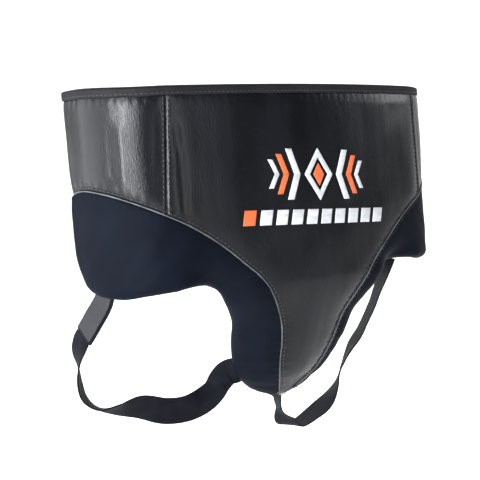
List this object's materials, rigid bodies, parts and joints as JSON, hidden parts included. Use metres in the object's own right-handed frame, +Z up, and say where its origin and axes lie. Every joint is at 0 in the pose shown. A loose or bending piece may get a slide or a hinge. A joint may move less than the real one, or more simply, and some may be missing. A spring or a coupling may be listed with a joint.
{
  "type": "groin protector",
  "caption": "Padded boxing groin protector: half belt with glossy leather front, dark lower panels, cup tongue, leg straps and a hook-and-loop back belt.",
  "frame": {"origin": "middle of the waist opening, in the plane of the rim", "axes": "+Z up, -Y the wearer's front, +X the wearer's left"},
  "size_m": [0.4029, 0.1533, 0.3381],
  "materials": {
    "cover_leather": "glossy black coated leather with a fine grain",
    "lower_cloth": "matte navy-black microfibre",
    "piping": "thin dark grey piping cord",
    "binding": "matte black woven binding tape",
    "foam": "closed-cell foam padding",
    "cup_shell": "injection-moulded hard plastic",
    "cup_rubber": "soft moulded rubber edge",
    "lining": "brushed lining cloth",
    "webbing": "ribbed elastic webbing",
    "loop_tape": "soft loop tape",
    "hook_tape": "stiff hook tape"
  },
  "bodies": {
    "root": {"front_panel": "cover_leather", "hip_panel_right": "cover_leather", "hip_panel_left": "cover_leather", "lower_panel_right": "lower_cloth", "lower_panel_left": "lower_cloth", "seam_piping_right": "piping", "seam_piping_left": "piping", "waist_binding": "binding", "front_foam": "foam", "hip_foam_right": "foam", "hip_foam_left": "foam", "groin_cup": "cup_shell", "cup_edge_rubber": "cup_rubber", "cup_pad": "foam", "cup_lining": "lining", "front_lining": "lining", "hip_lining_right": "lining", "hip_lining_left": "lining", "strap_loop_patch_right": "loop_tape", "strap_loop_patch_left": "loop_tape", "strap_anchor_right": "webbing", "strap_anchor_left": "webbing"},
    "belt_left": {"belt_left": "webbing"},
    "closure_tab": {"closure_tab": "cover_leather", "closure_hook_tape": "hook_tape"},
    "belt_right": {"belt_right": "webbing", "closure_loop_tape": "loop_tape"},
    "leg_strap_right": {"leg_strap_right": "webbing"},
    "leg_strap_left": {"leg_strap_left": "webbing"},
    "strap_tab_right": {"strap_tab_right": "webbing", "strap_hook_tape_right": "hook_tape"},
    "strap_tab_left": {"strap_tab_left": "webbing", "strap_hook_tape_left": "hook_tape"}
  },
  "joints": [
    {"name": "belt_left_swing", "type": "hinge", "parent": "root", "child": "belt_left", "pos_m": [0.191, 0.0155, -0.0515], "axis": [0, 0, 1], "range_deg": [-100, 0]},
    {"name": "closure_peel", "type": "hinge", "parent": "belt_left", "child": "closure_tab", "pos_m": [-0.0103, 0.05795, -0.0515], "axis": [0, 0, 1], "range_deg": [-120, 0]},
    {"name": "belt_right_swing", "type": "hinge", "parent": "root", "child": "belt_right", "pos_m": [-0.191, 0.0155, -0.0515], "axis": [0, 0, 1], "range_deg": [-20, 0]},
    {"name": "leg_strap_right_swing", "type": "hinge", "parent": "root", "child": "leg_strap_right", "pos_m": [-0.193, 0.024, -0.226], "axis": [0.9523, -0.1287, -0.2767], "range_deg": [-8, 30]},
    {"name": "leg_strap_left_swing", "type": "hinge", "parent": "root", "child": "leg_strap_left", "pos_m": [0.176, -0.002, -0.181], "axis": [0.8274, -0.0435, 0.5599], "range_deg": [-8, 30]},
    {"name": "strap_tab_right_peel", "type": "hinge", "parent": "root", "child": "strap_tab_right", "pos_m": [-0.1895, 0.023, -0.216], "axis": [0, 1, 0], "range_deg": [0, 75]},
    {"name": "strap_tab_left_peel", "type": "hinge", "parent": "root", "child": "strap_tab_left", "pos_m": [0.1764, -0.003, -0.175], "axis": [0, -1, 0], "range_deg": [0, 75]}
  ]
}
